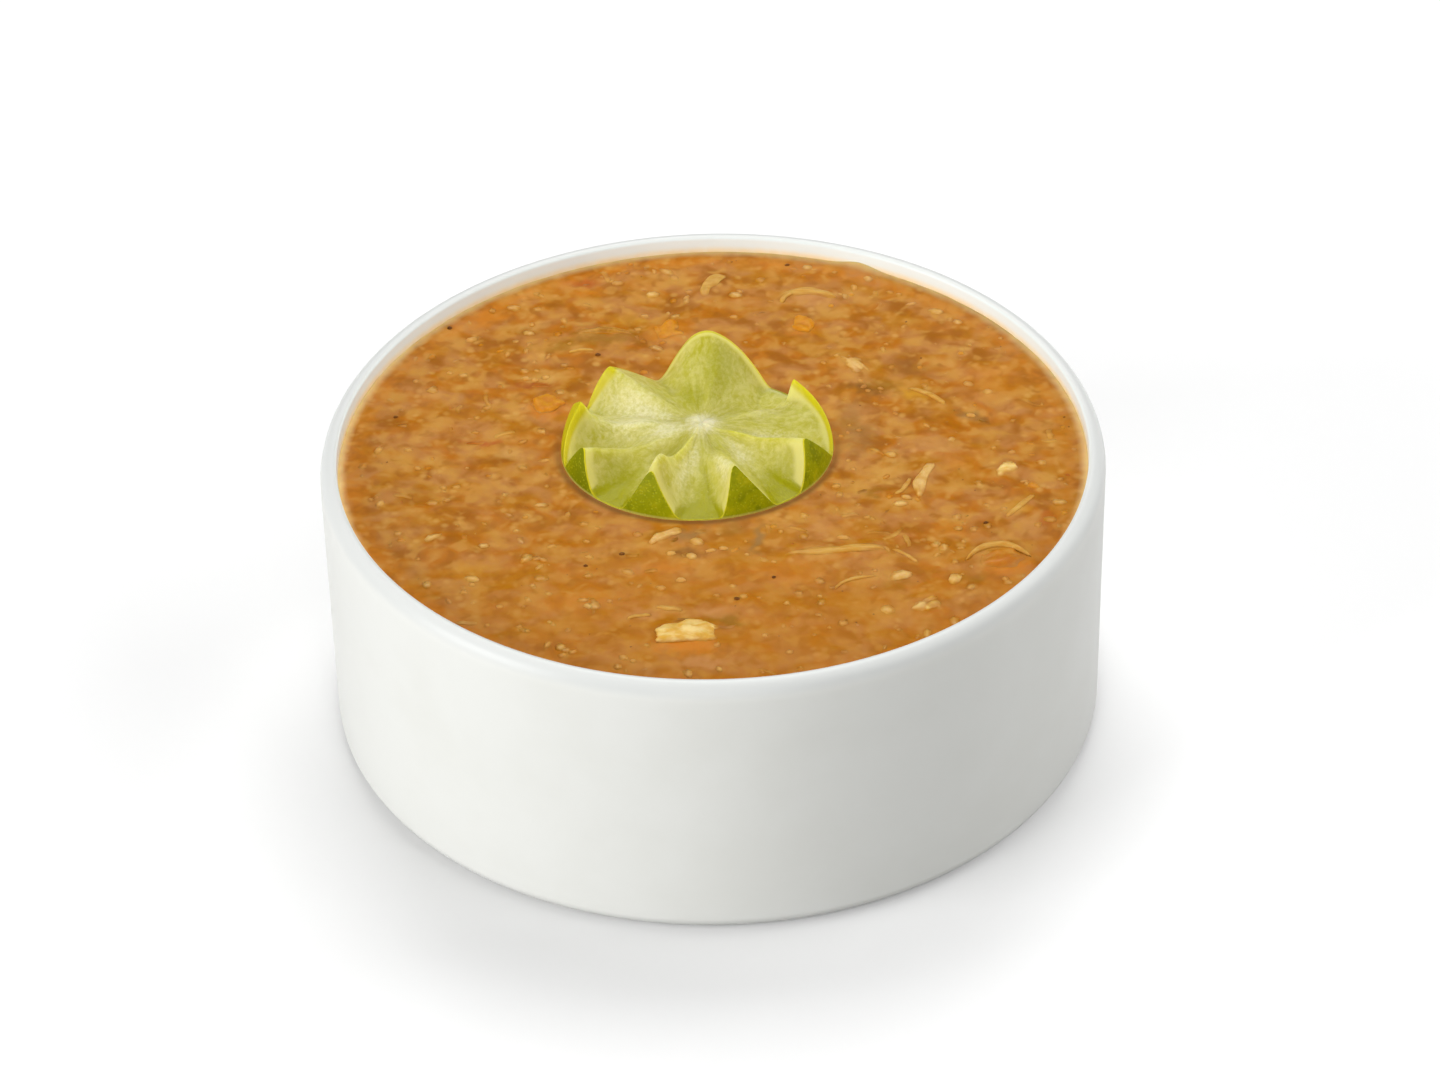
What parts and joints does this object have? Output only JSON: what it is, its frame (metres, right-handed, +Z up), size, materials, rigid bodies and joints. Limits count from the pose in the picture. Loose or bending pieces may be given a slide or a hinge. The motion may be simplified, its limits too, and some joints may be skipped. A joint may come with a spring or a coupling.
{
  "type": "bowl of chicken soup",
  "caption": "Straight-sided white bowl of thick chicken soup with a zigzag-cut lime half as garnish, for a laid table.",
  "frame": {"origin": "middle of the bowl's footprint, at the height of the surface it stands on", "axes": "+Z up along the bowl's axis; -Y is the front of the bowl, +X is to the right seen from the front"},
  "size_m": [0.138, 0.138, 0.0619],
  "materials": {
    "bowl": "white glazed ceramic",
    "soup": "thick orange-brown puree with a moist sheen",
    "lime": "green rind, pale pith and wet pulp",
    "chicken": "moist cooked chicken",
    "onion": "soft cooked onion",
    "tomato": "soft cooked tomato",
    "pepper": "soft cooked pepper",
    "carrot": "cooked carrot"
  },
  "bodies": {
    "root": {"bowl": "bowl", "soup": "soup", "lime_crown": "lime", "chicken_chunk_front": "chicken", "chicken_chunk_right": "chicken", "chicken_chunk_side": "chicken", "chicken_shred_front": "chicken", "chicken_shred_back": "chicken", "chicken_shred_rear": "chicken", "onion_strip_side": "onion", "onion_strip_front": "onion", "onion_piece_back": "onion", "tomato_piece_right": "tomato", "pepper_strip_back": "pepper", "carrot_dice_back": "carrot", "carrot_dice_left": "carrot", "carrot_dice_rear": "carrot"}
  },
  "joints": []
}
